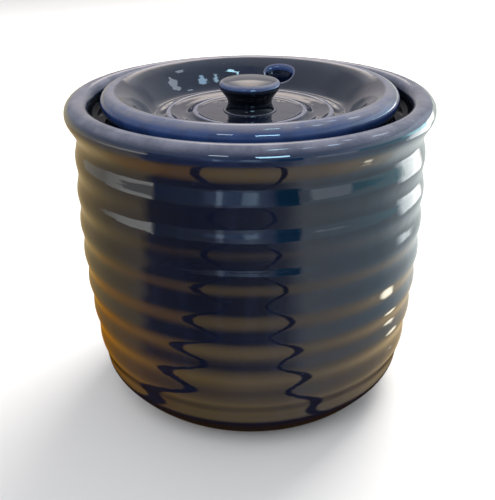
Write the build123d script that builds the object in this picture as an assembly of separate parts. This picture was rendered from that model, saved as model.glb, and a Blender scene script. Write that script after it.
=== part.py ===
from build123d import *

import math
import os
from itertools import pairwise

# A yarn bowl thrown on the wheel: a ribbed stoneware crock with a sunken dish lid, a yarn hole
# through the lid's sloping wall and a pinch knob luted to its middle.
# Millimetres, +Z up. The origin is the middle of the foot, on the surface that the crock stands on.
# Every outline is drawn in the XZ plane as (radius, height) and turned about Z.

# Crock, outside
FOOT_RADIUS = 59.0
FOOT_BEVEL = 0.8
FOOT_DIRECTION = (1.0, 0.4)  # in which the outside leaves the foot
FOOT_CURVE = [(65.6, 3.6), (71.2, 8.0), (76.1, 13.6), (80.0, 20.0)]  # from the foot up into the wall
BELLY_RADIUS = 87.0
BELLY_HEIGHT = 103.0
WALL_SWELL = 530.0  # radius of the long upright curve of the wall
RING_VALLEYS = [25.9, 42.4, 59.1, 74.1, 91.0, 106.9, 123.6]  # heights, uneven as the hand left them
RING_DEPTH = 1.1  # from the crest of a throwing ring to the valley beside it
NECK = (85.3, 141.4)

# Crock, lip and gallery
RIM_RADIUS = 90.0
LIP_SECTION_RADIUS = 6.0
LIP_TOP_HEIGHT = 159.0
LIP_UNDERCUT_ANGLE = -25.0  # where the rolled lip runs out into the neck, in degrees
LEDGE_HEIGHT = 149.5
THROAT_RADIUS = 64.5
THROAT_EDGE_RADIUS = 1.5
THROAT_FOOT_HEIGHT = 146.8
LEDGE_UNDERSIDE = [(66.2, 143.9), (71.5, 141.3), (76.6, 137.4), (79.2, 131.9)]

# Crock, inside
WALL_THICKNESS = 6.6
INNER_RING_DEPTH = 0.6
FLOOR_HEIGHT = 9.0
FLOOR_RADIUS = 44.0
FLOOR_CURVE = [(52.0, 9.7), (60.8, 12.6), (68.2, 18.4), (73.2, 26.6)]  # from the floor up into the wall
RECESS_RADIUS = 49.0
RECESS_DEPTH = 1.6
RECESS_SLOPE_WIDTH = 2.5

# Lid
LID_EDGE_RADIUS = 72.7
LID_BEAD_RADIUS = 5.4
LID_BEAD_HEIGHT = 156.7  # height of the middle of the rolled edge
LID_BEAD_START_ANGLE = -62.0  # lower end of the rolled edge's arc, in degrees
LID_BEAD_END_ANGLE = 100.0  # inner end, where the shoulder starts
LID_SEAT_OUTER_RADIUS = 69.6
LID_SEAT_CORNER = 1.2
LID_SEAT_INNER_RADIUS = 63.6
LID_STEP_HEIGHT = 147.2  # lower end of the short step that centres the lid in the throat
LID_SHOULDER = [(63.4, 161.05), (60.2, 159.35)]  # gentle slope in from the rolled edge
DISH_WALL = [(56.6, 156.3), (52.4, 151.9), (49.4, 149.3)]
LID_RING_HEIGHT = 150.25  # crests of the two raised rings
LID_RING_RADII = [40.3, 27.2]
LID_RING_FACE = [(2.6, -1.15), (1.1, -0.4), (0.0, 0.0), (-1.8, -0.42)]  # from the crest, outer side first
OUTER_TROUGH = (46.4, 148.3)
TERRACE = (34.0, 149.05)  # gentle slope between the two rings
INNER_TROUGH = (31.4, 148.7)
LID_DISC_RADIUS = 22.0
LID_DISC_HEIGHT = 149.6  # flat middle of the lid, which the knob stands on
LID_UNDERSIDE_HEIGHT = 143.3
LID_UNDERSIDE = [(48.5, 143.5), (55.5, 144.3), (61.0, 145.8)]
LID_UNDERSIDE_FLAT_RADIUS = 42.0
LID_UNDERSIDE_DIRECTION = (0.6, 1.0)  # in which the underside meets the centring step

# Yarn hole, an upright oval through the dish wall
YARN_HOLE_WIDTH = 15.0
YARN_HOLE_DEPTH = 7.0  # across, along the lid's radius
YARN_HOLE_RADIUS = 55.9
YARN_HOLE_BEARING = 73.0  # degrees anticlockwise from +X
YARN_HOLE_ROUNDING = 1.2

# Knob
KNOB_BASE_RADIUS = 12.4
KNOB_BASE_DIRECTION = (-0.7, 1.0)  # in which the waist leaves the lid's floor
KNOB_FLARE = (11.4, 151.2)
KNOB_NECK = (10.9, 154.2)
KNOB_CAP_RADIUS = 15.1
KNOB_CAP_HEIGHT = 161.8  # height of the cap's widest line
KNOB_EDGE_RADIUS = 2.5
KNOB_EDGE_START_ANGLE = -30.0  # where the waist runs into the cap's edge, in degrees
KNOB_EDGE_END_ANGLE = 75.0  # where the edge runs into the cap's shallow dome
KNOB_TOP_HEIGHT = 165.8

OUT = (1, 0)
IN = (-1, 0)
DOWN = (0, -1)


def on_circle(centre, radius, degrees):
    """The point of a circle at an angle from +X, in the outline's plane."""
    angle = math.radians(degrees)
    return (centre[0] + radius * math.cos(angle), centre[1] + radius * math.sin(angle))


def along_circle(degrees):
    """The direction in which a circle runs anticlockwise at that angle."""
    angle = math.radians(degrees)
    return (-math.sin(angle), math.cos(angle))


def arc(centre, radius, start, end):
    """The part of a circle between two angles, in degrees."""
    middle = (start + end) / 2
    return ThreePointArc(*(on_circle(centre, radius, angle) for angle in (start, middle, end)))


def wall_radius(height):
    """Outer radius of the wall's smooth swell, with no rings."""
    return BELLY_RADIUS - (height - BELLY_HEIGHT) ** 2 / (2 * WALL_SWELL)


def throwing_rings(offset, depth):
    """Valley and crest points of the wall's throwing rings, from the lowest valley up."""
    points = []
    for valley, next_valley in pairwise([*RING_VALLEYS, NECK[1]]):
        crest = (valley + next_valley) / 2
        points.append((wall_radius(valley) + offset - depth / 2, valley))
        points.append((wall_radius(crest) + offset + depth / 2, crest))
    return points


def smooth_curve(points, start_direction, end_direction):
    """A curve through all the points that leaves and arrives in the directions given."""
    directions = [start_direction, end_direction]
    return Spline(points, tangents=directions, tangent_scalars=[1.0, 1.0])


def turned(outline):
    """The solid that a closed outline of (radius, height) curves makes when it turns about Z."""
    face = Plane.XZ * make_face(outline)
    return revolve(face, axis=Axis.Z)


def make_crock_body():
    lip_centre = (RIM_RADIUS - LIP_SECTION_RADIUS, LIP_TOP_HEIGHT - LIP_SECTION_RADIUS)
    lip_start = on_circle(lip_centre, LIP_SECTION_RADIUS, LIP_UNDERCUT_ANGLE)
    lip_end = on_circle(lip_centre, LIP_SECTION_RADIUS, 180)
    fillet_radius = lip_end[1] - LEDGE_HEIGHT
    fillet_centre = (lip_end[0] - fillet_radius, lip_end[1])
    edge_centre = (THROAT_RADIUS + THROAT_EDGE_RADIUS, LEDGE_HEIGHT - THROAT_EDGE_RADIUS)
    foot_edge = (FOOT_RADIUS, FOOT_BEVEL)
    outer_wall = throwing_rings(0, RING_DEPTH)
    lowest = 1  # the first inner valley is part of the floor's curve
    highest = -2  # the gallery's underside takes the place of the last inner ring
    inner_wall = throwing_rings(-WALL_THICKNESS, INNER_RING_DEPTH)[lowest:highest]
    floor_edge = (FLOOR_RADIUS, FLOOR_HEIGHT)
    recess_edge = (RECESS_RADIUS, RECESS_DEPTH)

    outside = smooth_curve(
        [foot_edge, *FOOT_CURVE, *outer_wall, NECK, lip_start],
        FOOT_DIRECTION,
        along_circle(LIP_UNDERCUT_ANGLE),
    )
    lip = arc(lip_centre, LIP_SECTION_RADIUS, LIP_UNDERCUT_ANGLE, 180)
    ledge_fillet = arc(fillet_centre, fillet_radius, 0, -90)
    ledge = Line((fillet_centre[0], LEDGE_HEIGHT), (edge_centre[0], LEDGE_HEIGHT))
    throat_edge = arc(edge_centre, THROAT_EDGE_RADIUS, 90, 180)
    throat = Line((THROAT_RADIUS, edge_centre[1]), (THROAT_RADIUS, THROAT_FOOT_HEIGHT))
    inside = smooth_curve(
        [
            (THROAT_RADIUS, THROAT_FOOT_HEIGHT),
            *LEDGE_UNDERSIDE,
            *reversed(inner_wall),
            *reversed(FLOOR_CURVE),
            floor_edge,
        ],
        DOWN,
        IN,
    )
    base = Polyline(
        floor_edge,
        (0, FLOOR_HEIGHT),
        (0, RECESS_DEPTH),
        recess_edge,
        (RECESS_RADIUS + RECESS_SLOPE_WIDTH, 0),
        (FOOT_RADIUS - FOOT_BEVEL, 0),
        foot_edge,
    )
    return turned([outside, lip, ledge_fillet, ledge, throat_edge, throat, inside, base])


def lid_ring(radius):
    """Points over one raised ring of the lid's floor, from its outer side to its inner side."""
    return [(radius + out, LID_RING_HEIGHT + up) for out, up in LID_RING_FACE]


def make_lid():
    bead_centre = (LID_EDGE_RADIUS - LID_BEAD_RADIUS, LID_BEAD_HEIGHT)
    bead_start = on_circle(bead_centre, LID_BEAD_RADIUS, LID_BEAD_START_ANGLE)
    bead_end = on_circle(bead_centre, LID_BEAD_RADIUS, LID_BEAD_END_ANGLE)
    corner_centre = (LID_SEAT_OUTER_RADIUS - LID_SEAT_CORNER, LEDGE_HEIGHT + LID_SEAT_CORNER)
    outer_ring, inner_ring = LID_RING_RADII
    disc_edge = (LID_DISC_RADIUS, LID_DISC_HEIGHT)
    ringed_floor = [
        OUTER_TROUGH,
        *lid_ring(outer_ring),
        TERRACE,
        INNER_TROUGH,
        *lid_ring(inner_ring),
        disc_edge,
    ]

    bead = arc(bead_centre, LID_BEAD_RADIUS, LID_BEAD_START_ANGLE, LID_BEAD_END_ANGLE)
    dish = smooth_curve(
        [bead_end, *LID_SHOULDER, *DISH_WALL, *ringed_floor],
        along_circle(LID_BEAD_END_ANGLE),
        IN,
    )
    underside_edge = (LID_UNDERSIDE_FLAT_RADIUS, LID_UNDERSIDE_HEIGHT)
    middle = Polyline(
        disc_edge,
        (0, LID_DISC_HEIGHT),
        (0, LID_UNDERSIDE_HEIGHT),
        underside_edge,
    )
    step_foot = (LID_SEAT_INNER_RADIUS, LID_STEP_HEIGHT)
    underside = smooth_curve(
        [underside_edge, *LID_UNDERSIDE, step_foot],
        OUT,
        LID_UNDERSIDE_DIRECTION,
    )
    seat = Polyline(
        step_foot,
        (LID_SEAT_INNER_RADIUS, LEDGE_HEIGHT),
        (corner_centre[0], LEDGE_HEIGHT),
    )
    corner = arc(corner_centre, LID_SEAT_CORNER, -90, 0)
    side = Line((LID_SEAT_OUTER_RADIUS, corner_centre[1]), bead_start)
    disc = turned([bead, dish, middle, underside, seat, corner, side])

    bearing = math.radians(YARN_HOLE_BEARING)
    centre = (YARN_HOLE_RADIUS * math.cos(bearing), YARN_HOLE_RADIUS * math.sin(bearing), 0)
    oval = Ellipse(YARN_HOLE_DEPTH / 2, YARN_HOLE_WIDTH / 2)
    hole = extrude(Pos(*centre) * Rot(0, 0, YARN_HOLE_BEARING) * oval, LIP_TOP_HEIGHT * 2)
    pierced = disc - hole
    rims = [edge for edge in pierced.edges() if is_hole_rim(edge, centre)]
    return fillet(rims, YARN_HOLE_ROUNDING)


def is_hole_rim(edge, centre):
    """Whether an edge is the yarn hole's upper or lower rim, and not the seam down its wall."""
    middle = edge.center(CenterOf.BOUNDING_BOX)
    away = math.hypot(middle.X - centre[0], middle.Y - centre[1])
    return edge.is_closed and away < YARN_HOLE_DEPTH / 2


def make_lid_knob():
    cap_centre = (KNOB_CAP_RADIUS - KNOB_EDGE_RADIUS, KNOB_CAP_HEIGHT)
    edge_start = on_circle(cap_centre, KNOB_EDGE_RADIUS, KNOB_EDGE_START_ANGLE)
    edge_end = on_circle(cap_centre, KNOB_EDGE_RADIUS, KNOB_EDGE_END_ANGLE)
    base_edge = (KNOB_BASE_RADIUS, LID_DISC_HEIGHT)
    top_middle = (0, KNOB_TOP_HEIGHT)
    waist = smooth_curve(
        [base_edge, KNOB_FLARE, KNOB_NECK, edge_start],
        KNOB_BASE_DIRECTION,
        along_circle(KNOB_EDGE_START_ANGLE),
    )
    edge = arc(cap_centre, KNOB_EDGE_RADIUS, KNOB_EDGE_START_ANGLE, KNOB_EDGE_END_ANGLE)
    dome = smooth_curve([edge_end, top_middle], along_circle(KNOB_EDGE_END_ANGLE), IN)
    middle = Polyline(top_middle, (0, LID_DISC_HEIGHT), base_edge)
    return turned([waist, edge, dome, middle])


PARTS = {
    "crock_body": make_crock_body,
    "lid": make_lid,
    "lid_knob": make_lid_knob,
}

os.makedirs("parts", exist_ok=True)
for node, make in PARTS.items():
    shape = make()
    shape.label = node
    export_step(shape, f"parts/{node}.step")
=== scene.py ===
"""A covered yarn bowl in cobalt-glazed stoneware: ribbed crock, sunken lid with a yarn hole, and knob.

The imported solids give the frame. Each visible piece is turned again here as one fine mesh, with the
small unevenness of hand throwing, a rounded yarn hole and a bead of slip under the knob.
Outlines are (radius, height) in millimetres; meshes, lights and camera are in metres.
"""
import math
from itertools import pairwise

import bpy
import numpy as np
from mathutils import Matrix, Vector


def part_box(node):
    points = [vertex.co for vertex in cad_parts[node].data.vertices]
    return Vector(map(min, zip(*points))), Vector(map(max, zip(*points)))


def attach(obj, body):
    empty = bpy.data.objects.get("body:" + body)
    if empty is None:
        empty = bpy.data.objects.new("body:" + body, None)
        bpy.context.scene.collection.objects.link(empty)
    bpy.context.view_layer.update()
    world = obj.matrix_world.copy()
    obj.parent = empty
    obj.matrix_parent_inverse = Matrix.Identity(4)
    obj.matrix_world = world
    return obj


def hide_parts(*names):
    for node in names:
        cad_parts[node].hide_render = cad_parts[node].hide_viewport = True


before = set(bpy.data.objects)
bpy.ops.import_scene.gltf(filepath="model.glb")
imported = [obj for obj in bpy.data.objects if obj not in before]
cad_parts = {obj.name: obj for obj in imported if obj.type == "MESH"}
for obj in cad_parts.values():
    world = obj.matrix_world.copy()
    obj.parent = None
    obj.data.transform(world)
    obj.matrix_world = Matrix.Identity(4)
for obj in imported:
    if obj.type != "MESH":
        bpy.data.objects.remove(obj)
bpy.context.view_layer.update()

MM = 0.001
TURN = 2 * math.pi

# ---------------------------------------------------------------- driving dimensions, from the frame

crock_low, crock_high = (np.array(corner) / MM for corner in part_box("crock_body"))
lid_low, lid_high = (np.array(corner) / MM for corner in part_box("lid"))
knob_low, knob_high = (np.array(corner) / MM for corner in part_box("lid_knob"))

RIM_RADIUS = (crock_high[0] - crock_low[0]) / 2
LIP_TOP = crock_high[2]
LID_EDGE_RADIUS = (lid_high[0] - lid_low[0]) / 2
LID_UNDERSIDE = lid_low[2]
LID_DISC_HEIGHT = knob_low[2]
KNOB_CAP_RADIUS = (knob_high[0] - knob_low[0]) / 2
KNOB_TOP = knob_high[2]

# Crock, in millimetres
FOOT_RADIUS = 59.0
FOOT_ROUNDING = 0.9
FOOT_DIRECTION = (1.0, 0.4)  # in which the outside leaves the foot
FOOT_CURVE = [(65.6, 3.6), (71.2, 8.0), (76.1, 13.6), (80.0, 20.0)]
BELLY_RADIUS = RIM_RADIUS - 3.0
BELLY_HEIGHT = 103.0
WALL_SWELL = 530.0  # radius of the long upright curve of the wall
RING_VALLEYS = [25.9, 42.4, 59.1, 74.1, 91.0, 106.9, 123.6]  # heights, uneven as the hand left them
RING_DEPTH = 1.1
NECK = (85.3, 141.4)
LIP_SECTION = 6.0
LIP_UNDERCUT = -25.0  # where the rolled lip runs out into the neck, in degrees
LEDGE_HEIGHT = LIP_TOP - 9.5
LEDGE_GLAZE_OVERLAP = 0.6  # how far the ledge's glaze runs in under the lid's seat
THROAT_RADIUS = 64.5
THROAT_EDGE = 1.5
THROAT_FOOT = 146.8
LEDGE_UNDERSIDE = [(66.2, 143.9), (71.5, 141.3), (76.6, 137.4), (79.2, 131.9)]
WALL_THICKNESS = 6.6
INNER_RING_DEPTH = 0.6
FLOOR_HEIGHT = 9.0
FLOOR_RADIUS = 44.0
FLOOR_CURVE = [(52.0, 9.7), (60.8, 12.6), (68.2, 18.4), (73.2, 26.6)]
RECESS_RADIUS = 49.0
RECESS_DEPTH = 1.6
RECESS_SLOPE = 2.5

# Lid
LID_BEAD = 5.4  # radius of the rolled edge's section
LID_BEAD_HEIGHT = lid_high[2] - LID_BEAD
LID_SEAT_OUTER = 69.6
LID_SEAT_CORNER = 1.2
LID_SEAT_INNER = 63.6
LID_STEP_FOOT = 147.2
LID_STEP_DIRECTION = (0.6, 1.0)  # in which the underside meets the centring step
LID_BEAD_START = -62.0  # lower end of the rolled edge's arc, in degrees
LID_BEAD_END = 100.0
LID_SHOULDER = [(63.4, 161.05), (60.2, 159.35)]
DISH_WALL = [(56.6, 156.3), (52.4, 151.9), (49.4, 149.3)]
LID_RING_HEIGHT = 150.25
LID_RING_RADII = [40.3, 27.2]
LID_RING_FACE = [(2.6, -1.15), (1.1, -0.4), (0.0, 0.0), (-1.8, -0.42)]  # from the crest
OUTER_TROUGH = (46.4, 148.3)
TERRACE = (34.0, 149.05)
INNER_TROUGH = (31.4, 148.7)
LID_DISC_RADIUS = 22.0
LID_UNDERSIDE_CURVE = [(48.5, 143.5), (55.5, 144.3), (61.0, 145.8)]
LID_UNDERSIDE_FLAT = 42.0
DISH_SMOOTH_BELOW = 147.8  # height under which the lid has no hand-thrown unevenness

# Yarn hole
HOLE_WIDTH = 15.0
HOLE_DEPTH = 7.0
HOLE_RADIUS = 55.9
HOLE_BEARING = math.radians(73.0)
HOLE_ROUNDING = 1.5
HOLE_RIM_SHARPNESS = 0.35
HOLE_BLOCK_ROWS = 28  # rows of faces, along the outline, taken out for the hole on each side
HOLE_BLOCK_COLUMNS = 26  # and round the axis
HOLE_SPREAD_LOOPS = 5  # from the block's edge to the rounded rim
HOLE_RIM_LOOPS = 6  # over the quarter turn of the rim
HOLE_WALL_LOOPS = 6  # from rim to rim

# Knob
KNOB_BASE_RADIUS = 12.4
KNOB_BASE_DIRECTION = (-0.7, 1.0)
KNOB_FLARE = (11.4, 151.2)
KNOB_NECK = (10.9, 154.2)
KNOB_CAP_HEIGHT = KNOB_TOP - 4.0
KNOB_EDGE = 2.5
KNOB_EDGE_START = -30.0  # in degrees
KNOB_EDGE_END = 75.0

OUT = (1, 0)
IN = (-1, 0)
DOWN = (0, -1)
SEGMENTS = 288
KNOB_SEGMENTS = 160
SLIP_SEGMENTS = 160
SLIP_SIDES = 10
SLIP_SECTION = 0.62  # half the height of the bead of slip, in millimetres

# Surroundings that only the glaze mirrors, in metres
MIRRORED_TABLE_HEIGHT = -0.0004
FLASH_X = 0.148  # small bright patch on the mirrored table
FLASH_Y = -0.008
ROOM_RADIUS = 0.55
ROOM_BOTTOM = 0.045
ROOM_TOP = 0.2
ROOM_SIDES = 144
WINDOW_DISTANCE = 2.0


# ---------------------------------------------------------------- outlines

def on_circle(centre, radius, degrees):
    """The point of a circle at an angle from the radius axis."""
    angle = math.radians(degrees)
    return (centre[0] + radius * math.cos(angle), centre[1] + radius * math.sin(angle))


def along_circle(degrees):
    """The direction in which a circle runs anticlockwise at that angle."""
    angle = math.radians(degrees)
    return (-math.sin(angle), math.cos(angle))


def spline(points, start_direction, end_direction, step):
    """Points about step apart on a smooth cubic through points, with its end directions given."""
    knots = np.array(points, float)
    spans = np.linalg.norm(np.diff(knots, axis=0), axis=1)
    count = len(knots)
    system = np.zeros((count, count))
    wanted = np.zeros((count, 2))
    system[0, 0] = system[-1, -1] = 1
    wanted[0] = np.array(start_direction) / np.hypot(*start_direction)
    wanted[-1] = np.array(end_direction) / np.hypot(*end_direction)
    slopes = np.diff(knots, axis=0) / spans[:, None]
    for i in range(1, count - 1):
        before, after = spans[i - 1], spans[i]
        system[i, i - 1] = after
        system[i, i] = 2 * (before + after)
        system[i, i + 1] = before
        wanted[i] = 3 * (after * slopes[i - 1] + before * slopes[i])
    tangents = np.linalg.solve(system, wanted)
    found = [knots[0]]
    for i, span in enumerate(spans):
        pieces = max(1, round(span / step))
        for t in np.arange(1, pieces + 1) / pieces:
            found.append(
                (1 + 2 * t) * (1 - t) ** 2 * knots[i]
                + t * (1 - t) ** 2 * span * tangents[i]
                + t * t * (3 - 2 * t) * knots[i + 1]
                - t * t * (1 - t) * span * tangents[i + 1]
            )
    return found


class Outline:
    """Points of a turned outline in order, each with how bare of glaze it is."""

    def __init__(self, start):
        self.points = [start]
        self.bareness = [0.0]

    def add(self, points, bare):
        for point in points:
            self.points.append(tuple(point))
            self.bareness.append(bare)

    def line(self, end, step, bare=0.0):
        start = np.array(self.points[-1])
        reach = np.array(end) - start
        pieces = max(1, round(float(np.hypot(*reach)) / step))
        self.add([start + reach * i / pieces for i in range(1, pieces + 1)], bare)

    def arc(self, centre, radius, start, end, step, bare=0.0):
        pieces = max(3, round(radius * abs(math.radians(end - start)) / step))
        angles = [start + (end - start) * i / pieces for i in range(1, pieces + 1)]
        self.add([on_circle(centre, radius, angle) for angle in angles], bare)

    def curve(self, points, start_direction, end_direction, step, bare=0.0):
        through = [self.points[-1], *points]
        self.add(spline(through, start_direction, end_direction, step)[1:], bare)


def wall_radius(height):
    """Outer radius of the wall's smooth swell, with no rings."""
    return BELLY_RADIUS - (height - BELLY_HEIGHT) ** 2 / (2 * WALL_SWELL)


def throwing_rings(offset, depth):
    """Valley and crest points of the wall's throwing rings, from the lowest valley up."""
    points = []
    for valley, next_valley in pairwise([*RING_VALLEYS, NECK[1]]):
        crest = (valley + next_valley) / 2
        points.append((wall_radius(valley) + offset - depth / 2, valley))
        points.append((wall_radius(crest) + offset + depth / 2, crest))
    return points


def crock_outline():
    """From the middle of the base out, up the ribbed wall, over the lip and down the inside."""
    outline = Outline((0.0, RECESS_DEPTH))
    outline.bareness[0] = 1.0
    outline.line((RECESS_RADIUS, RECESS_DEPTH), 4.0, bare=1.0)
    outline.line((RECESS_RADIUS + RECESS_SLOPE, 0.0), 0.7, bare=1.0)
    outline.line((FOOT_RADIUS - FOOT_ROUNDING, 0.0), 1.2, bare=1.0)
    outline.arc((FOOT_RADIUS - FOOT_ROUNDING, FOOT_ROUNDING), FOOT_ROUNDING, -90, -20, 0.3, bare=1.0)
    lip_centre = (RIM_RADIUS - LIP_SECTION, LIP_TOP - LIP_SECTION)
    lip_start = on_circle(lip_centre, LIP_SECTION, LIP_UNDERCUT)
    rings = throwing_rings(0, RING_DEPTH)
    outline.curve(
        [*FOOT_CURVE, *rings, NECK, lip_start],
        FOOT_DIRECTION,
        along_circle(LIP_UNDERCUT),
        0.95,
    )
    outline.arc(lip_centre, LIP_SECTION, LIP_UNDERCUT, 180, 0.7)
    fillet_radius = lip_centre[1] - LEDGE_HEIGHT
    fillet = (lip_centre[0] - LIP_SECTION - fillet_radius, lip_centre[1])
    outline.arc(fillet, fillet_radius, 0, -90, 0.4)
    edge = (THROAT_RADIUS + THROAT_EDGE, LEDGE_HEIGHT - THROAT_EDGE)
    outline.line((LID_SEAT_OUTER - LEDGE_GLAZE_OVERLAP, LEDGE_HEIGHT), 0.8)
    outline.line((edge[0], LEDGE_HEIGHT), 0.8, bare=1.0)
    outline.arc(edge, THROAT_EDGE, 90, 180, 0.4, bare=1.0)
    outline.line((THROAT_RADIUS, THROAT_FOOT), 0.8)
    inner_rings = throwing_rings(-WALL_THICKNESS, INNER_RING_DEPTH)[1:-2]
    outline.curve(
        [*LEDGE_UNDERSIDE, *inner_rings[::-1], *FLOOR_CURVE[::-1], (FLOOR_RADIUS, FLOOR_HEIGHT)],
        DOWN,
        IN,
        2.4,
    )
    outline.line((0.0, FLOOR_HEIGHT), 4.0)
    return outline


def lid_outline():
    """From the middle of the underside out to the seat, round the rolled edge and in over the dish."""
    outline = Outline((0.0, LID_UNDERSIDE))
    outline.line((LID_UNDERSIDE_FLAT, LID_UNDERSIDE), 3.0)
    step_foot = (LID_SEAT_INNER, LID_STEP_FOOT)
    outline.curve([*LID_UNDERSIDE_CURVE, step_foot], OUT, LID_STEP_DIRECTION, 0.6)
    outline.line((LID_SEAT_INNER, LEDGE_HEIGHT), 0.6, bare=1.0)
    corner = (LID_SEAT_OUTER - LID_SEAT_CORNER, LEDGE_HEIGHT + LID_SEAT_CORNER)
    outline.line((corner[0], LEDGE_HEIGHT), 0.8, bare=1.0)
    outline.arc(corner, LID_SEAT_CORNER, -90, 0, 0.35)
    bead = (LID_EDGE_RADIUS - LID_BEAD, LID_BEAD_HEIGHT)
    bead_start = on_circle(bead, LID_BEAD, LID_BEAD_START)
    outline.line(bead_start, 0.6)
    outline.arc(bead, LID_BEAD, LID_BEAD_START, LID_BEAD_END, 0.4)
    outer_ring, inner_ring = (
        [(radius + out, LID_RING_HEIGHT + up) for out, up in LID_RING_FACE] for radius in LID_RING_RADII
    )
    disc_edge = (LID_DISC_RADIUS, LID_DISC_HEIGHT)
    floor = [OUTER_TROUGH, *outer_ring, TERRACE, INNER_TROUGH, *inner_ring, disc_edge]
    outline.curve([*LID_SHOULDER, *DISH_WALL, *floor], along_circle(LID_BEAD_END), IN, 0.6)
    outline.line((0.0, LID_DISC_HEIGHT), 2.5)
    return outline


def knob_outline():
    """From the lid's floor up the waist, round the cap's edge and in over its shallow dome."""
    outline = Outline((0.0, LID_DISC_HEIGHT))
    outline.line((KNOB_BASE_RADIUS, LID_DISC_HEIGHT), 3.0)
    cap = (KNOB_CAP_RADIUS - KNOB_EDGE, KNOB_CAP_HEIGHT)
    cap_start = on_circle(cap, KNOB_EDGE, KNOB_EDGE_START)
    waist = [KNOB_FLARE, KNOB_NECK, cap_start]
    outline.curve(waist, KNOB_BASE_DIRECTION, along_circle(KNOB_EDGE_START), 0.4)
    outline.arc(cap, KNOB_EDGE, KNOB_EDGE_START, KNOB_EDGE_END, 0.25)
    outline.curve([(0.0, KNOB_TOP)], along_circle(KNOB_EDGE_END), IN, 0.6)
    return outline


# ---------------------------------------------------------------- turned meshes

def edge_sharpness(outline):
    """How sharply each outline point stands out, from 0 on flat and hollow parts to 1 on a tight edge."""
    points = np.array(outline.points)
    sharp = np.zeros(len(points))
    before = points[1:-1] - points[:-2]
    after = points[2:] - points[1:-1]
    turn = before[:, 0] * after[:, 1] - before[:, 1] * after[:, 0]
    lengths = np.linalg.norm(before, axis=1) * np.linalg.norm(after, axis=1)
    angle = np.arcsin(np.clip(turn / np.maximum(lengths, 1e-9), -1, 1))
    reach = (np.linalg.norm(before, axis=1) + np.linalg.norm(after, axis=1)) / 2
    sharp[1:-1] = angle / np.maximum(reach, 1e-6)
    return sharp


def smooth_noise(seed, count):
    """A periodic wobble about the turning axis: returns f(angle, height) within about -1 to 1."""
    random = np.random.default_rng(seed)
    waves = []
    for k in range(1, count + 1):
        waves.append((k, random.uniform(0, TURN), random.uniform(-0.05, 0.05), 1 / k ** 0.8))
    total = sum(wave[3] for wave in waves)

    def value(angle, height):
        return sum(a * np.sin(k * angle + p + c * height) for k, p, c, a in waves) / total

    return value


def rising(value, start, reach):
    """0 up to start, then rising evenly to 1 within reach."""
    return np.clip((value - start) / reach, 0, 1)


def falling(value, end, reach):
    """1 up to reach before end, then falling evenly to 0 at end."""
    return np.clip((end - value) / reach, 0, 1)


def fade(height, low, high, soft):
    """1 between low and high, falling smoothly to 0 within soft of either."""
    inside = np.clip(np.minimum(height - low, high - height) / soft, 0, 1)
    return inside * inside * (3 - 2 * inside)


def mesh_object(name, vertices, faces, attributes):
    """A smooth-shaded object from vertices in millimetres, with named point values on its mesh."""
    mesh = bpy.data.meshes.new(name)
    mesh.from_pydata([tuple(v) for v in np.array(vertices) * MM], [], faces)
    for label, values in attributes.items():
        layer = mesh.attributes.new(label, "FLOAT", "POINT")
        layer.data.foreach_set("value", np.array(values, dtype=np.float32))
    mesh.polygons.foreach_set("use_smooth", [True] * len(mesh.polygons))
    mesh.update()
    thing = bpy.data.objects.new(name, mesh)
    bpy.context.collection.objects.link(thing)
    return thing


class TurnedGrid:
    """The vertices and faces of an outline turned about the axis, closed by one vertex at each end."""

    def __init__(self, outline, segments, first_angle=0.0):
        self.outline = outline
        self.segments = segments
        self.angles = first_angle + TURN * np.arange(segments) / segments
        self.rings = len(outline.points) - 2
        sharp = edge_sharpness(outline)
        self.vertices = []
        self.sharp = []
        self.bare = []
        for i in range(1, self.rings + 1):
            radius, height = outline.points[i]
            for angle in self.angles:
                self.vertices.append((radius * math.cos(angle), radius * math.sin(angle), height))
                self.sharp.append(sharp[i])
                self.bare.append(outline.bareness[i])
        for end in (0, -1):
            self.vertices.append((0.0, 0.0, outline.points[end][1]))
            self.sharp.append(0.0)
            self.bare.append(outline.bareness[end])
        self.skipped = set()

    def at(self, ring, segment):
        """Index of the vertex on an outline point (ring 1 is the first off the axis)."""
        return (ring - 1) * self.segments + segment % self.segments

    def faces(self):
        found = []
        first_pole = self.rings * self.segments
        for j in range(self.segments):
            found.append((first_pole, self.at(1, j + 1), self.at(1, j)))
            found.append((first_pole + 1, self.at(self.rings, j), self.at(self.rings, j + 1)))
        for i in range(1, self.rings):
            for j in range(self.segments):
                if (i, j) not in self.skipped:
                    found.append(
                        (self.at(i, j), self.at(i, j + 1), self.at(i + 1, j + 1), self.at(i + 1, j))
                    )
        return found

    def add_vertex(self, place, sharp, bare):
        self.vertices.append(tuple(place))
        self.sharp.append(sharp)
        self.bare.append(bare)
        return len(self.vertices) - 1


def polar(vertices):
    """Radius, angle and height of every vertex."""
    v = np.array(vertices)
    return np.hypot(v[:, 0], v[:, 1]), np.arctan2(v[:, 1], v[:, 0]), v[:, 2]


def from_polar(radius, angle, height):
    return np.stack([radius * np.cos(angle), radius * np.sin(angle), height], axis=1)


def thrown(vertices):
    """The crock's vertices with the unevenness of throwing: ribs that rise, sink and swell a little.

    Each is a broad wobble that bends the ribs and a fine one that roughens them, in millimetres."""
    radius, angle, height = polar(vertices)
    body = fade(height, 2.0, 143.0, 14.0)
    outer = rising(radius, THROAT_RADIUS - 4, 4)
    rise = smooth_noise(11, 5)(angle, height) * 0.45 + smooth_noise(12, 14)(angle, height * 4) * 0.12
    swell = smooth_noise(13, 4)(angle, height) * 0.22 + smooth_noise(14, 18)(angle, height * 6) * 0.07
    return from_polar(radius + swell * body * outer, angle, height + rise * body * outer)


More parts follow.
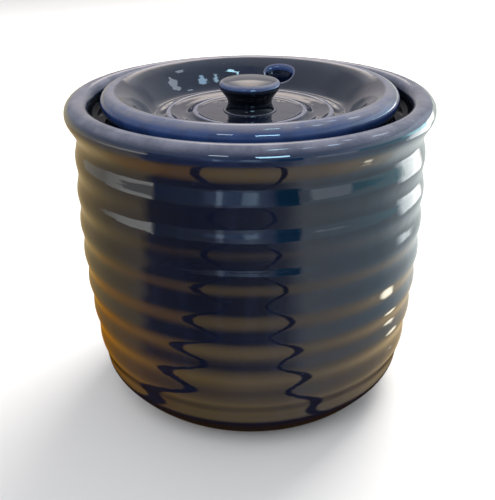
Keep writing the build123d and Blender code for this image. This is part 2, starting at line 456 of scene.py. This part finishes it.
def make_crock():
    grid = TurnedGrid(crock_outline(), SEGMENTS)
    radius, _, height = polar(grid.vertices)
    inner_edge = RIM_RADIUS - 2 * LIP_SECTION
    # Painted shade on the gallery inside the lip, where the lid sits.
    gallery_painted_shade = falling(radius, inner_edge + 0.8, 0.8) * (height > THROAT_FOOT - 8)
    crock = mesh_object(
        "crock_glazed",
        thrown(grid.vertices),
        grid.faces(),
        {"edge_sharpness": grid.sharp, "bare_clay": grid.bare, "painted_shade": gallery_painted_shade},
    )
    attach(crock, "crock")
    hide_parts("crock_body")
    return crock


def ring_at_radius(outline, radius, start, stop):
    """The outline point nearest to a radius, searched between two point numbers."""
    return min(range(start, stop), key=lambda i: abs(outline.points[i][0] - radius))


def cut_side(grid, ring, height_at, downward):
    """Opens a block of the grid from that ring on, and adds loops that close in on the yarn hole.

    Returns the loops, from the block's edge to the hole's wall on this side of the lid."""
    across = (math.cos(HOLE_BEARING), math.sin(HOLE_BEARING))
    along = (-across[1], across[0])
    left, right = -HOLE_BLOCK_COLUMNS // 2, HOLE_BLOCK_COLUMNS // 2
    last = ring + HOLE_BLOCK_ROWS
    for i in range(ring, last):
        for j in range(left, right):
            grid.skipped.add((i, j % grid.segments))
    block = [grid.at(ring, j) for j in range(left, right)]
    block += [grid.at(i, right) for i in range(ring, last)]
    block += [grid.at(last, j) for j in range(right, left, -1)]
    block += [grid.at(i, left) for i in range(last, ring, -1)]

    def local(index):
        x, y, _ = grid.vertices[index]
        out = x * across[0] + y * across[1] - HOLE_RADIUS
        return (x * along[0] + y * along[1], out)

    half_width, half_depth = HOLE_WIDTH / 2, HOLE_DEPTH / 2
    places = [local(index) for index in block]
    ovals = []
    for u, v in places:
        bearing = math.atan2(v / half_depth, u / half_width)
        ovals.append((math.cos(bearing), math.sin(bearing)))

    def ring_of(offset, drop, share):
        """A loop at an offset outside the hole's wall; share is how far it has left the block's edge."""
        loop = []
        for (u, v), (c, s) in zip(places, ovals):
            target = ((half_width + offset) * c, (half_depth + offset) * s)
            pu = u + (target[0] - u) * share
            pv = v + (target[1] - v) * share
            x = (HOLE_RADIUS + pv) * across[0] + pu * along[0]
            y = (HOLE_RADIUS + pv) * across[1] + pu * along[1]
            z = height_at(math.hypot(x, y)) + (drop if downward else -drop)
            sharp = HOLE_RIM_SHARPNESS if drop > 0 else 0.0
            loop.append(grid.add_vertex((x, y, z), sharp, 0.0))
        return loop

    loops = [block]
    for step in range(1, HOLE_SPREAD_LOOPS):
        loops.append(ring_of(HOLE_ROUNDING, 0.0, step / HOLE_SPREAD_LOOPS))
    for step in range(HOLE_RIM_LOOPS + 1):
        turn = math.radians(90 * step / HOLE_RIM_LOOPS)
        offset = HOLE_ROUNDING * (1 - math.sin(turn))
        drop = HOLE_ROUNDING * (1 - math.cos(turn))
        loops.append(ring_of(offset, drop, 1.0))
    return loops


def bridge(first, second):
    """Quads between two loops of as many vertices."""
    count = len(first)
    return [(first[k], first[(k + 1) % count], second[(k + 1) % count], second[k]) for k in range(count)]


def make_lid():
    outline = lid_outline()
    grid = TurnedGrid(outline, SEGMENTS, HOLE_BEARING)
    points = outline.points
    seat = next(i for i, p in enumerate(points) if p[1] >= LEDGE_HEIGHT)
    top = max(range(len(points)), key=lambda i: points[i][1])
    under = np.array(points[1:seat])
    over = np.array(points[top:])[::-1]

    def under_height(radius):
        return float(np.interp(radius, under[:, 0], under[:, 1]))

    def over_height(radius):
        return float(np.interp(radius, over[:, 0], over[:, 1]))

    half_block = HOLE_BLOCK_ROWS // 2
    under_ring = ring_at_radius(outline, HOLE_RADIUS, 1, seat) - half_block
    over_ring = ring_at_radius(outline, HOLE_RADIUS, top, len(points)) - half_block
    under_loops = cut_side(grid, under_ring, under_height, True)
    over_loops = cut_side(grid, over_ring, over_height, False)
    extra = []
    for loops in (under_loops, over_loops):
        for a, b in zip(loops, loops[1:]):
            extra += bridge(a, b)
    # The upper loop runs the other way round, so it is reversed to meet the lower one.
    low, high = under_loops[-1], over_loops[-1]
    start = np.array(grid.vertices[low[0]])
    nearest = int(np.argmin([math.dist(grid.vertices[k][:2], start[:2]) for k in high]))
    high = [high[(nearest - k) % len(high)] for k in range(len(high))]
    loop_before = low
    for step in range(1, HOLE_WALL_LOOPS):
        share = step / HOLE_WALL_LOOPS
        loop = []
        for a, b in zip(low, high):
            place = np.array(grid.vertices[a]) * (1 - share) + np.array(grid.vertices[b]) * share
            loop.append(grid.add_vertex(place, 0.0, 0.0))
        extra += bridge(loop_before, loop)
        loop_before = loop
    extra += bridge(loop_before, high)

    radius, angle, height = polar(grid.vertices)
    sharp = np.array(grid.sharp) * (1 + 0.5 * rising(radius, 64, 2))
    dish = fade(radius, -10.0, 69.0, 10.0) * rising(height, DISH_SMOOTH_BELOW, 0.8)
    lift = smooth_noise(21, 4)(angle, radius) * 0.10 + smooth_noise(22, 12)(angle, radius * 3) * 0.04
    vertices = from_polar(radius, angle, height + lift * dish * rising(radius, 12.6, 18))
    # Painted shade on the lid's seat and on its side below the rolled edge.
    gallery_painted_shade = rising(radius, LID_SEAT_INNER + 1, 2) * falling(height, LID_BEAD_HEIGHT - 2.2, 2)
    lid = mesh_object(
        "lid_glazed",
        vertices,
        grid.faces() + extra,
        {"edge_sharpness": sharp, "bare_clay": grid.bare, "painted_shade": gallery_painted_shade},
    )
    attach(lid, "lid")
    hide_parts("lid")
    return lid


def make_knob():
    grid = TurnedGrid(knob_outline(), KNOB_SEGMENTS)
    radius, angle, height = polar(grid.vertices)
    lean = fade(height, LID_DISC_HEIGHT + 2, KNOB_TOP + 10, 8.0)
    swell = smooth_noise(31, 4)(angle, height) * 0.12
    # Painted shade on the knob's waist below the cap.
    waist = 0.8 * falling(height, KNOB_CAP_HEIGHT - 0.4, 1.2)
    sharp = np.array(grid.sharp) * (0.35 + 0.65 * rising(height, KNOB_CAP_HEIGHT, 1.6))
    vertices = from_polar(np.maximum(radius + swell * lean * radius / KNOB_CAP_RADIUS, 0), angle, height)
    knob = mesh_object(
        "knob_glazed",
        vertices,
        grid.faces(),
        {"edge_sharpness": sharp, "bare_clay": grid.bare, "painted_shade": waist},
    )
    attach(knob, "lid")
    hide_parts("lid_knob")
    return knob


def make_slip_bead():
    """The uneven ring of slip squeezed out where the knob was luted to the lid."""
    wobble = smooth_noise(41, 16)
    vertices, faces = [], []
    for j in range(SLIP_SEGMENTS):
        angle = TURN * j / SLIP_SEGMENTS
        thick = SLIP_SECTION + 0.2 * float(wobble(angle, 0.0))
        middle = KNOB_BASE_RADIUS + 0.1 + 0.12 * float(wobble(angle + 2.0, 30.0))
        for k in range(SLIP_SIDES):
            turn = TURN * k / SLIP_SIDES
            radius = middle + thick * 1.25 * math.cos(turn)
            height = LID_DISC_HEIGHT + 0.05 + thick * math.sin(turn)
            vertices.append((radius * math.cos(angle), radius * math.sin(angle), height))
    for j in range(SLIP_SEGMENTS):
        a, b = j * SLIP_SIDES, (j + 1) % SLIP_SEGMENTS * SLIP_SIDES
        for k in range(SLIP_SIDES):
            after = (k + 1) % SLIP_SIDES
            faces.append((a + k, b + k, b + after, a + after))
    bead = mesh_object(
        "knob_slip_bead",
        vertices,
        faces,
        {"edge_sharpness": [0.14] * len(vertices)},
    )
    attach(bead, "lid")
    return bead


# ---------------------------------------------------------------- materials

def new_material(name):
    material = bpy.data.materials.new(name)
    material.use_nodes = True
    nodes = material.node_tree.nodes
    nodes.clear()
    shader = nodes.new("ShaderNodeBsdfPrincipled")
    output = nodes.new("ShaderNodeOutputMaterial")
    material.node_tree.links.new(shader.outputs["BSDF"], output.inputs["Surface"])
    return material, shader


class Nodes:
    """Short calls that add nodes to a node tree and join them."""

    def __init__(self, tree, coordinates="Object"):
        self.tree = tree
        place = self.tree.nodes.new("ShaderNodeTexCoord")
        self.place = place.outputs[coordinates]

    def put(self, socket, value):
        if isinstance(value, bpy.types.NodeSocket):
            self.tree.links.new(value, socket)
        else:
            socket.default_value = value

    def math(self, operation, a, b=0.0, clamp=False):
        node = self.tree.nodes.new("ShaderNodeMath")
        node.operation = operation
        node.use_clamp = clamp
        self.put(node.inputs[0], a)
        self.put(node.inputs[1], b)
        return node.outputs[0]

    def noise(self, scale, detail=2.0, roughness=0.5, place=None):
        node = self.tree.nodes.new("ShaderNodeTexNoise")
        node.inputs["Scale"].default_value = scale
        node.inputs["Detail"].default_value = detail
        node.inputs["Roughness"].default_value = roughness
        self.put(node.inputs["Vector"], place or self.place)
        return node.outputs["Fac"]

    def stretched(self, scale):
        """Object coordinates scaled by three factors."""
        node = self.tree.nodes.new("ShaderNodeMapping")
        node.inputs["Scale"].default_value = scale
        self.put(node.inputs["Vector"], self.place)
        return node.outputs["Vector"]

    def cells(self, scale):
        """Distance to the nearest cell centre, and a random colour per cell."""
        node = self.tree.nodes.new("ShaderNodeTexVoronoi")
        node.inputs["Scale"].default_value = scale
        self.put(node.inputs["Vector"], self.place)
        return node.outputs["Distance"], node.outputs["Color"]

    def span(self, value, low, high, to_low=0.0, to_high=1.0):
        node = self.tree.nodes.new("ShaderNodeMapRange")
        node.interpolation_type = "SMOOTHSTEP"
        node.inputs["From Min"].default_value = low
        node.inputs["From Max"].default_value = high
        node.inputs["To Min"].default_value = to_low
        node.inputs["To Max"].default_value = to_high
        self.put(node.inputs["Value"], value)
        return node.outputs["Result"]

    def length(self, a, b):
        """Length of the level line whose two sides are a and b."""
        squares = self.math("ADD", self.math("MULTIPLY", a, a), self.math("MULTIPLY", b, b))
        return self.math("SQRT", squares)

    def axes(self):
        """The x, y and z of the coordinates."""
        node = self.tree.nodes.new("ShaderNodeSeparateXYZ")
        self.put(node.inputs["Vector"], self.place)
        return node.outputs["X"], node.outputs["Y"], node.outputs["Z"]

    def upward(self):
        """How far the surface faces up, from -1 to 1."""
        geometry = self.tree.nodes.new("ShaderNodeNewGeometry")
        split = self.tree.nodes.new("ShaderNodeSeparateXYZ")
        self.put(split.inputs["Vector"], geometry.outputs["Normal"])
        return split.outputs["Z"]

    def bearing(self, x, y):
        """Share of a full turn about the bowl, from 0 at the back by the left side, front and right."""
        turn = self.math("ARCTAN2", x, self.math("MULTIPLY", y, -1.0))
        return self.math("ADD", self.math("DIVIDE", turn, TURN), 0.5)

    def around(self, bearing, stops):
        """A ramp over bearings given in degrees from the front, positive to the right."""
        return self.ramp(bearing, [(0.5 + degrees / 360, colour) for degrees, colour in stops])

    def ramp(self, value, stops):
        node = self.tree.nodes.new("ShaderNodeValToRGB")
        elements = node.color_ramp.elements
        while len(elements) < len(stops):
            elements.new(0.5)
        for element, (position, colour) in zip(elements, stops):
            element.position = position
            element.color = (*colour, 1.0)
        self.put(node.inputs["Fac"], value)
        return node.outputs["Color"]

    def mix(self, share, a, b):
        node = self.tree.nodes.new("ShaderNodeMix")
        node.data_type = "RGBA"
        self.put(node.inputs[0], share)
        for socket, colour in ((node.inputs[6], a), (node.inputs[7], b)):
            self.put(socket, (*colour, 1.0) if isinstance(colour, tuple) else colour)
        return node.outputs[2]

    def blend(self, share, a, b):
        """Number between a and b."""
        node = self.tree.nodes.new("ShaderNodeMix")
        node.data_type = "FLOAT"
        self.put(node.inputs[0], share)
        self.put(node.inputs[2], a)
        self.put(node.inputs[3], b)
        return node.outputs[0]

    def attribute(self, name):
        node = self.tree.nodes.new("ShaderNodeAttribute")
        node.attribute_name = name
        return node.outputs["Fac"]

    def bump(self, height, distance, strength=1.0, normal=None):
        node = self.tree.nodes.new("ShaderNodeBump")
        node.inputs["Strength"].default_value = strength
        node.inputs["Distance"].default_value = distance
        self.put(node.inputs["Height"], height)
        if normal is not None:
            self.put(node.inputs["Normal"], normal)
        return node.outputs["Normal"]


def glazed_stoneware():
    """Glossy cobalt glaze, thin and greyer on edges, with pits and specks; buff clay where bare.

    Sheltered places are darker and mirror almost nothing, which stands in for the shade in them."""
    material, shader = new_material("cobalt_glaze_on_stoneware")
    n = Nodes(material.node_tree)
    clouds = n.noise(26.0, 3.0, 0.55)
    runs = n.noise(1.0, 3.0, 0.5, n.stretched((160.0, 160.0, 18.0)))
    edge = n.attribute("edge_sharpness")
    facing_up = n.span(n.upward(), 0.35, 0.85)
    mottle = n.noise(95.0, 5.0, 0.65)
    on_edge = n.span(edge, 0.14, 0.27)
    patches = n.span(mottle, 0.3, 0.7, 0.65, 1.25)
    cobalt = n.math("MULTIPLY", on_edge, patches, clamp=True)
    thin = n.math("MULTIPLY", n.span(edge, 0.07, 0.20), facing_up)
    thin = n.math("MULTIPLY", thin, n.span(mottle, 0.3, 0.7, 1.25, 0.6), clamp=True)
    body = n.mix(n.span(clouds, 0.3, 0.7), (0.0022, 0.0046, 0.0155), (0.0034, 0.0066, 0.0215))
    body = n.mix(n.span(runs, 0.45, 0.85), body, (0.0055, 0.0095, 0.028))
    glaze = n.mix(cobalt, body, (0.026, 0.060, 0.190))
    glaze = n.mix(thin, glaze, (0.150, 0.155, 0.205))
    # Painted shade: the glaze here turns nearly black, and further down it loses most of its mirror.
    painted_shade = n.attribute("painted_shade")
    glaze = n.mix(painted_shade, glaze, (0.0006, 0.0010, 0.0030))
    speck_distance, speck_pick = n.cells(420.0)
    speck = n.math("LESS_THAN", speck_distance, 0.20)
    speck = n.math("MULTIPLY", speck, n.span(speck_pick, 0.62, 0.66))
    glaze = n.mix(n.math("MULTIPLY", speck, 0.12), glaze, (0.03, 0.05, 0.12))

    grain = n.noise(900.0, 4.0, 0.6)
    clay = n.ramp(
        grain,
        [(0.25, (0.30, 0.22, 0.15)), (0.55, (0.46, 0.36, 0.26)), (0.8, (0.58, 0.48, 0.37))],
    )
    bare = n.math("ADD", n.attribute("bare_clay"), n.span(n.noise(120.0, 2.0), 0.2, 0.8, -0.3, 0.3))
    bare = n.span(bare, 0.42, 0.58)

    pit_distance, pit_pick = n.cells(150.0)
    pit = n.span(pit_distance, 0.0, 0.055, 1.0, 0.0)
    pit = n.math("MULTIPLY", pit, n.span(pit_pick, 0.55, 0.6))
    peel = n.noise(210.0, 2.0, 0.45)
    wave = n.noise(48.0, 2.0, 0.5)
    throwing_lines = n.noise(1.0, 2.0, 0.5, n.stretched((9.0, 9.0, 330.0)))
    normal = n.bump(wave, 0.00025)
    normal = n.bump(throwing_lines, 0.00007, 1.0, normal)
    normal = n.bump(peel, 0.00005, 1.0, normal)
    normal = n.bump(n.math("MULTIPLY", pit, -1.0), 0.0003, 1.0, normal)
    normal = n.bump(n.math("MULTIPLY", grain, bare), 0.0004, 0.8, normal)

    smudge = n.span(n.noise(34.0, 4.0, 0.6), 0.45, 0.8)
    gloss = n.blend(smudge, 0.03, 0.10)
    gloss = n.blend(pit, gloss, 0.5)
    n.put(shader.inputs["Base Color"], n.mix(bare, glaze, clay))
    n.put(shader.inputs["Roughness"], n.blend(bare, gloss, 0.85))
    # Painted shade also takes the mirror away: low specular and no coat in the shaded places.
    n.put(shader.inputs["Specular IOR Level"], n.blend(painted_shade, 0.5, 0.04))
    n.put(shader.inputs["Coat Weight"], n.blend(n.math("MAXIMUM", bare, painted_shade), 1.0, 0.0))
    n.put(shader.inputs["Normal"], normal)
    shader.inputs["Coat Roughness"].default_value = 0.03
    shader.inputs["Coat IOR"].default_value = 1.55
    shader.inputs["IOR"].default_value = 1.5
    n.put(shader.inputs["Coat Normal"], normal)
    return material


def floor_material():
    """Matt, pale studio floor with a faint mottle."""
    material, shader = new_material("pale_floor")
    n = Nodes(material.node_tree)
    mottle = n.noise(3.0, 3.0)
    n.put(
        shader.inputs["Base Color"],
        n.ramp(mottle, [(0.3, (0.84, 0.82, 0.80)), (0.7, (0.87, 0.86, 0.845))]),
    )
    n.put(shader.inputs["Roughness"], n.span(mottle, 0.2, 0.8, 0.75, 0.9))
    return material


# ---------------------------------------------------------------- stage, lights and camera

def plain_object(name, vertices, faces, material):
    """A flat-shaded object from vertices in metres."""
    mesh = bpy.data.meshes.new(name)
    mesh.from_pydata(vertices, [], faces)
    mesh.materials.append(material)
    thing = bpy.data.objects.new(name, mesh)
    bpy.context.collection.objects.link(thing)
    return thing


def square(half, height):
    """Corners of a level square about the turning axis."""
    return [(x * half, y * half, height) for x, y in ((-1, -1), (1, -1), (1, 1), (-1, 1))]


def make_floor(material):
    """The floor that the camera sees; the glaze mirrors the table below it instead."""
    floor = plain_object("studio_floor", square(4.0, 0.0), [(0, 1, 2, 3)], material)
    floor.visible_glossy = False


def glowing(name):
    """A material that only shines, with its node helper and the socket for its colour."""
    material = bpy.data.materials.new(name)
    material.use_nodes = True
    nodes = material.node_tree.nodes
    nodes.clear()
    glow = nodes.new("ShaderNodeEmission")
    output = nodes.new("ShaderNodeOutputMaterial")
    material.node_tree.links.new(glow.outputs["Emission"], output.inputs["Surface"])
    return material, Nodes(material.node_tree), glow.inputs["Color"]


def mirror_card(name, vertices, faces, material):
    """A card that the camera and the floor never see, but that the glaze mirrors."""
    card = plain_object(name, vertices, faces, material)
    card.visible_camera = False
    card.visible_diffuse = False
    card.visible_transmission = False
    card.visible_shadow = False


def make_mirrored_table():
    """The table top that the wall of the bowl mirrors: honey brown to the left, dim in front, grey right.

    It has a sunlit part at the right and behind, two dark lines in front, a small bright
    patch at the right and shade round the foot. Its colours suit the photograph's view."""
    material, n, colour = glowing("mirrored_table")
    x, y, _ = n.axes()
    bearing = n.bearing(x, y)
    reach = n.length(x, y)
    # Colours of the table close to the bowl and farther off, by bearing from the front; the dim bearings
    # in front are painted shadow.
    near = n.around(bearing, [
        (-180, (0.50, 0.38, 0.22)),
        (-140, (0.42, 0.21, 0.022)),
        (-100, (0.36, 0.145, 0.008)),
        (-66, (0.42, 0.21, 0.025)),
        (-40, (0.42, 0.24, 0.05)),
        (-28, (0.50, 0.34, 0.09)),
        (0, (0.60, 0.44, 0.18)),
        (30, (0.56, 0.45, 0.27)),
        (92, (0.64, 0.48, 0.27)),
        (180, (0.52, 0.42, 0.30)),
    ])
    far = n.around(bearing, [
        (-180, (0.50, 0.44, 0.32)),
        (-132, (0.42, 0.31, 0.15)),
        (-90, (0.33, 0.25, 0.09)),
        (-66, (0.36, 0.28, 0.10)),
        (-58, (0.07, 0.055, 0.018)),
        (-30, (0.045, 0.036, 0.010)),
        (4, (0.09, 0.085, 0.06)),
        (18, (0.16, 0.17, 0.16)),
        (30, (0.48, 0.52, 0.52)),
        (80, (0.44, 0.56, 0.60)),
        (112, (0.75, 0.84, 0.86)),
        (180, (0.66, 0.68, 0.62)),
    ])
    table = n.mix(n.span(reach, 0.10, 0.245), near, far)
    sunlit = n.around(bearing, [
        (96, (0.46, 0.60, 0.66)),
        (104, (2.6, 2.9, 3.0)),
        (128, (3.2, 3.2, 3.1)),
        (134, (0.70, 0.74, 0.70)),
    ])
    # The sunlit part spans the same bearings as its ramp.
    right_back = n.math("GREATER_THAN", bearing, 0.5 + 96 / 360)
    right_back = n.math("MULTIPLY", right_back, n.math("LESS_THAN", bearing, 0.5 + 134 / 360))
    table = n.mix(n.math("MULTIPLY", right_back, n.span(reach, 0.38, 0.46)), table, sunlit)
    # Two dark straight lines across the table in front, each given by start, slant and half width.
    dark_lines = (
        (0.040, -0.06, 0.0032),
        (-0.062, 0.13, 0.0060),
    )
    for start, slant, half_width in dark_lines:
        line_middle = n.math("ADD", n.math("MULTIPLY", y, slant), start)
        beside = n.math("ABSOLUTE", n.math("SUBTRACT", x, line_middle))
        dark = n.span(beside, half_width, half_width + 0.0025, 0.95, 0.0)
        dark = n.math("MULTIPLY", dark, n.math("LESS_THAN", y, 0.0))
        table = n.mix(dark, table, (0.02, 0.014, 0.01))
    away = n.length(n.math("SUBTRACT", x, FLASH_X), n.math("SUBTRACT", y, FLASH_Y))
    table = n.mix(n.span(away, 0.010, 0.020, 1.0, 0.0), table, (3.2, 3.0, 2.4))
    foot_shadow = n.span(reach, 0.083, 0.098)
    n.put(colour, n.mix(foot_shadow, (0.02, 0.010, 0.002), table))
    mirror_card("mirrored_table", square(3.0, MIRRORED_TABLE_HEIGHT), [(0, 1, 2, 3)], material)


def make_mirrored_room():
    """A ring of cards round the bowl, raised above the table, with windows and furniture as bars."""
    material, n, colour = glowing("mirrored_room")
    x, y, z = n.axes()
    bearing = n.bearing(x, y)
    # Colours of the ring's upper and lower part, by bearing from the front.
    high = n.around(bearing, [
        (-180, (0.30, 0.29, 0.28)),
        (-150, (0.42, 0.38, 0.28)),
        (-78, (0.46, 0.44, 0.32)),
        (-56.5, (0.50, 0.48, 0.36)),
        (-56, (0.07, 0.08, 0.10)),
        (-27, (0.10, 0.13, 0.17)),
        (-25, (0.17, 0.22, 0.32)),
        (-19, (0.26, 0.36, 0.54)),
        (-18, (0.95, 1.25, 1.65)),
        (-15, (0.70, 0.95, 1.30)),
        (-14, (0.22, 0.32, 0.52)),
        (-5, (0.18, 0.28, 0.46)),
        (-3, (0.60, 0.85, 1.15)),
        (3, (0.72, 1.00, 1.35)),
        (5, (0.28, 0.40, 0.58)),
        (12, (0.12, 0.18, 0.28)),
        (16, (0.005, 0.09, 0.16)),
        (27, (0.005, 0.10, 0.18)),
        (28, (0.36, 0.42, 0.48)),
        (33, (0.40, 0.46, 0.50)),
        (35, (0.90, 1.02, 1.12)),
        (58, (0.80, 0.95, 1.04)),
        (60, (0.22, 0.50, 0.60)),
        (90, (0.36, 0.78, 0.92)),
        (98, (1.6, 2.8, 3.1)),
        (116, (2.2, 3.4, 3.6)),
        (122, (3.6, 3.7, 3.7)),
        (130, (3.6, 3.6, 3.5)),
        (136, (0.80, 0.88, 0.80)),
        (180, (0.30, 0.29, 0.28)),
    ])
    low = n.around(bearing, [
        (-180, (0.30, 0.29, 0.28)),
        (-150, (0.46, 0.40, 0.28)),
        (-96, (0.50, 0.46, 0.34)),
        (-74, (1.15, 1.15, 1.0)),
        (-57, (1.35, 1.35, 1.2)),
        (-56, (0.07, 0.075, 0.06)),
        (-20, (0.14, 0.15, 0.16)),
        (-17, (0.50, 0.62, 0.80)),
        (-14, (0.16, 0.20, 0.28)),
        (0, (0.38, 0.50, 0.66)),
        (10, (0.20, 0.26, 0.34)),
        (16, (0.02, 0.12, 0.20)),
        (27, (0.02, 0.12, 0.20)),
        (29, (0.50, 0.58, 0.62)),
        (60, (0.50, 0.66, 0.72)),
        (96, (0.50, 0.85, 0.95)),
        (104, (3.0, 3.3, 3.3)),
        (130, (3.6, 3.6, 3.5)),
        (136, (0.75, 0.80, 0.74)),
        (180, (0.30, 0.29, 0.28)),
    ])
    n.put(colour, n.mix(n.span(z, 0.105, 0.120), low, high))
    vertices, faces = [], []
    for k in range(ROOM_SIDES):
        angle = TURN * k / ROOM_SIDES
        for height in (ROOM_BOTTOM, ROOM_TOP):
            vertices.append((ROOM_RADIUS * math.cos(angle), ROOM_RADIUS * math.sin(angle), height))
        after = 2 * ((k + 1) % ROOM_SIDES)
        faces.append((2 * k, after, after + 1, 2 * k + 1))
    mirror_card("mirrored_room", vertices, faces, material)


def aim(thing, place, target):
    """Places a light or camera and points its -Z axis at a target."""
    thing.location = place
    direction = Vector(target) - Vector(place)
    thing.rotation_euler = direction.to_track_quat("-Z", "Y").to_euler()


def softbox(name, place, target, size, power, colour):
    """A rectangular area light for the floor and the matt clay, which the glaze doesn't mirror."""
    lamp = bpy.data.lights.new(name, "AREA")
    lamp.shape = "RECTANGLE"
    lamp.size, lamp.size_y = size
    lamp.energy = power
    lamp.color = colour
    light = bpy.data.objects.new(name, lamp)
    bpy.context.collection.objects.link(light)
    aim(light, place, target)
    light.visible_camera = False
    light.visible_glossy = False


def window(name, bearing, rise, width, height, brightness):
    """A bright pane that only the glaze mirrors; bearing, rise, width and height are in degrees."""
    material, _, colour = glowing(name)
    colour.default_value = (*brightness, 1.0)
    across, up = math.radians(bearing), math.radians(rise)
    outward = Vector((math.sin(across) * math.cos(up), -math.cos(across) * math.cos(up), math.sin(up)))
    centre = outward * WINDOW_DISTANCE + Vector((0.0, 0.0, LIP_TOP * MM))
    side = outward.cross(Vector((0.0, 0.0, 1.0))).normalized()
    side = side * math.radians(width) * WINDOW_DISTANCE / 2
    top = side.cross(outward).normalized() * math.radians(height) * WINDOW_DISTANCE / 2
    corners = [centre - side - top, centre + side - top, centre + side + top, centre - side + top]
    mirror_card(name, corners, [(0, 1, 2, 3)], material)


def make_world():
    """Even pale light for the camera and floor; for the glaze, a pale wall behind and a dim ceiling."""
    world = bpy.data.worlds.new("studio")
    bpy.context.scene.world = world
    world.use_nodes = True
    n = Nodes(world.node_tree, "Generated")
    x, y, z = n.axes()
    bearing = n.bearing(x, y)
    # Colours for rays that leave nearly level, rising and steeply, by bearing from the front.
    low = n.around(bearing, [
        (-180, (0.42, 0.40, 0.42)),
        (-162, (0.40, 0.38, 0.40)),
        (-150, (0.24, 0.26, 0.29)),
        (-60, (0.36, 0.40, 0.46)),
        (0, (0.16, 0.22, 0.34)),
        (50, (0.45, 0.58, 0.72)),
        (100, (1.10, 1.35, 1.60)),
        (128, (0.80, 0.92, 1.05)),
        (148, (0.28, 0.31, 0.35)),
        (162, (0.38, 0.38, 0.40)),
        (180, (0.42, 0.40, 0.42)),
    ])
    middle = n.around(bearing, [
        (-180, (1.70, 1.52, 1.40)),
        (-175, (1.50, 1.36, 1.28)),
        (-169, (0.58, 0.58, 0.62)),
        (-154, (0.30, 0.32, 0.35)),
        (-60, (0.42, 0.47, 0.55)),
        (0, (0.24, 0.28, 0.44)),
        (90, (0.50, 0.62, 0.74)),
        (152, (0.44, 0.46, 0.50)),
        (169, (0.58, 0.58, 0.62)),
        (175, (1.50, 1.36, 1.28)),
        (180, (1.70, 1.52, 1.40)),
    ])
    high = n.around(bearing, [
        (-180, (0.44, 0.48, 0.54)),
        (-90, (0.42, 0.46, 0.52)),
        (0, (0.24, 0.28, 0.40)),
        (90, (0.34, 0.40, 0.46)),
        (180, (0.44, 0.48, 0.54)),
    ])
    mirrored = n.mix(n.span(z, 0.36, 0.46), low, middle)
    mirrored = n.mix(n.span(z, 0.66, 0.76), mirrored, high)
    path = world.node_tree.nodes.new("ShaderNodeLightPath")
    seen = n.mix(path.outputs["Is Glossy Ray"], (0.62, 0.63, 0.66), mirrored)
    background = world.node_tree.nodes["Background"]
    n.put(background.inputs["Color"], seen)
    background.inputs["Strength"].default_value = 1.0


def make_camera():
    """The photograph's point of view, in front of the bowl and above it."""
    pan, down, roll = 0.27, 25.64, -0.48
    data = bpy.data.cameras.new("camera")
    data.sensor_width = 36.0
    data.lens = 55.8
    camera = bpy.data.objects.new("camera", data)
    bpy.context.collection.objects.link(camera)
    turn = Matrix.Rotation(math.radians(pan), 4, "Z")
    tilt = Matrix.Rotation(math.radians(90 - down), 4, "X")
    level = Matrix.Rotation(math.radians(roll), 4, "Z")
    camera.matrix_world = Matrix.Translation((0.0, -0.3758, 0.2529)) @ turn @ tilt @ level
    bpy.context.scene.camera = camera


glaze = glazed_stoneware()
for piece in (make_crock(), make_lid(), make_knob(), make_slip_bead()):
    piece.data.materials.append(glaze)
for node in ("crock_body", "lid", "lid_knob"):
    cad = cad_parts[node]
    cad.data.materials.clear()
    cad.data.materials.append(glaze)
make_floor(floor_material())
make_mirrored_table()
make_mirrored_room()
window("mirrored_front_window_left", -19, 31, 10, 5, (4.5, 5.4, 5.9))
window("mirrored_front_window_right", 13, 23, 17, 8, (5.4, 9.2, 11.5))
window("mirrored_high_window_near", 48, 77, 9, 2.6, (5.0, 8.6, 10.4))
window("mirrored_high_window_left", 86, 60, 6, 5, (2.3, 3.5, 4.7))
window("mirrored_high_window_right", 69, 67, 3.5, 4, (2.8, 4.2, 5.2))
window("mirrored_side_window", 117, 45, 8, 6, (1.9, 2.2, 2.5))
window("mirrored_side_window_low", 130, 56, 8, 3, (1.8, 2.1, 2.5))
make_world()
make_camera()
softbox("key_back", (0.45, 0.85, 1.0), (0, 0.1, 0.0), (0.9, 0.9), 26.0, (1.0, 0.97, 0.93))
softbox("fill_front", (-0.4, -1.0, 1.2), (0, 0, 0.05), (1.2, 1.2), 9.0, (0.97, 0.98, 1.0))
bpy.context.scene.view_settings.view_transform = "Standard"
